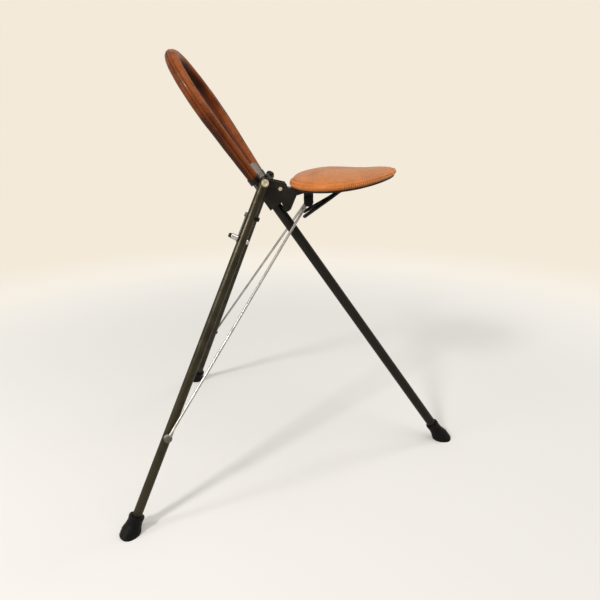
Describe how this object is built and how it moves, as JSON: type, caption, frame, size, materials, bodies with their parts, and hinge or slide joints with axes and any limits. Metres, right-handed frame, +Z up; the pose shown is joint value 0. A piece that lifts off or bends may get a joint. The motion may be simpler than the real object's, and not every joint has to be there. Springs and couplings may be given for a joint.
{
  "type": "folding tripod stool with hoop back",
  "caption": "Folding tripod hunting stool: egg-shaped leather seat that tips up, leather-covered hoop back, steel tube legs with rubber feet, chromed folding rods.",
  "frame": {"origin": "middle of the footprint, on the floor", "axes": "+X towards the front leg, +Y to the sitter's left, +Z up"},
  "size_m": [0.7263, 0.6692, 0.885],
  "materials": {
    "dark_tube": "satin dark gunmetal",
    "black_metal": "semi-gloss black enamel",
    "rubber": "matt black, moulded",
    "chrome": "bright polished plating",
    "zinc_steel": "bright zinc plating",
    "grey_steel": "plain grey steel",
    "seat_leather": "light saddle tan, satin, rolled and stitched rim",
    "back_leather": "red-brown saddle leather, glossy, stitched"
  },
  "bodies": {
    "frame": {"front_tube": "dark_tube", "front_foot": "rubber", "hinge_block": "black_metal", "cross_arm": "black_metal", "socket_left": "black_metal", "socket_right": "black_metal", "stay_plate_left": "grey_steel", "stay_plate_right": "grey_steel", "stay_rivets": "chrome", "hoop_tube": "dark_tube", "hoop_cover": "back_leather", "hinge_pin": "zinc_steel", "pivot_bolt_left": "zinc_steel", "pivot_bolt_right": "zinc_steel", "pivot_washer_left": "grey_steel", "pivot_washer_right": "grey_steel"},
    "leg_left": {"leg_tube_left": "dark_tube", "leg_bush_left": "zinc_steel", "leg_cap_left": "rubber", "rear_foot_left": "rubber", "rod_boss_left": "zinc_steel"},
    "leg_right": {"leg_tube_right": "dark_tube", "leg_bush_right": "zinc_steel", "leg_cap_right": "rubber", "rear_foot_right": "rubber", "rod_boss_right": "zinc_steel", "catch_buffer": "rubber", "catch_rivet": "grey_steel", "catch_leaf": "grey_steel", "catch_housing": "chrome"},
    "catch": {"catch_plunger": "chrome", "catch_knob": "black_metal"},
    "seat": {"seat_bracket": "black_metal", "seat_pan": "black_metal", "seat_cushion": "seat_leather", "seat_rivets": "zinc_steel", "stop_roller": "rubber", "stop_pin": "zinc_steel", "rod_lug": "black_metal", "rod_pin": "chrome", "rod_caps": "rubber", "belt_hook": "black_metal"},
    "rod_left": {"rod_left": "chrome", "rod_rivet_left": "zinc_steel"},
    "rod_right": {"rod_right": "chrome", "rod_rivet_right": "zinc_steel"}
  },
  "joints": [
    {"name": "seat_fold", "type": "hinge", "parent": "frame", "child": "seat", "pos_m": [-0.05716, 0, 0.62027], "axis": [0, -1, 0], "range_deg": [0, 104]},
    {"name": "leg_left_fold", "type": "hinge", "parent": "frame", "child": "leg_left", "pos_m": [-0.08739, 0.0865, 0.63554], "axis": [-0.3021, -0.9291, -0.2131], "range_deg": [0, 54.9]},
    {"name": "leg_right_fold", "type": "hinge", "parent": "frame", "child": "leg_right", "pos_m": [-0.08739, -0.0865, 0.63554], "axis": [0.3021, -0.9291, 0.2131], "range_deg": [0, 54.9]},
    {"name": "rod_left_turn", "type": "hinge", "parent": "seat", "child": "rod_left", "pos_m": [0.00205, 0.022, 0.59498], "axis": [0.0554, 0.8737, 0.4833], "range_deg": [0, 45.9]},
    {"name": "rod_right_turn", "type": "hinge", "parent": "seat", "child": "rod_right", "pos_m": [0.00205, -0.022, 0.59498], "axis": [-0.0554, 0.8737, -0.4833], "range_deg": [0, 45.9]},
    {"name": "catch_pull", "type": "slide", "parent": "leg_right", "child": "catch", "axis": [-0.8854, -0.1907, 0.4238], "range_m": [0, 0.004], "stiffness_N_per_m": 400, "springref_m": -0.003}
  ],
  "couplings": [
    {"joint": "leg_left_fold", "follows": "seat_fold", "ratio": 0.52718},
    {"joint": "leg_right_fold", "follows": "seat_fold", "ratio": 0.52718},
    {"joint": "rod_left_turn", "follows": "seat_fold", "ratio": 0.44091},
    {"joint": "rod_right_turn", "follows": "seat_fold", "ratio": 0.44091}
  ]
}
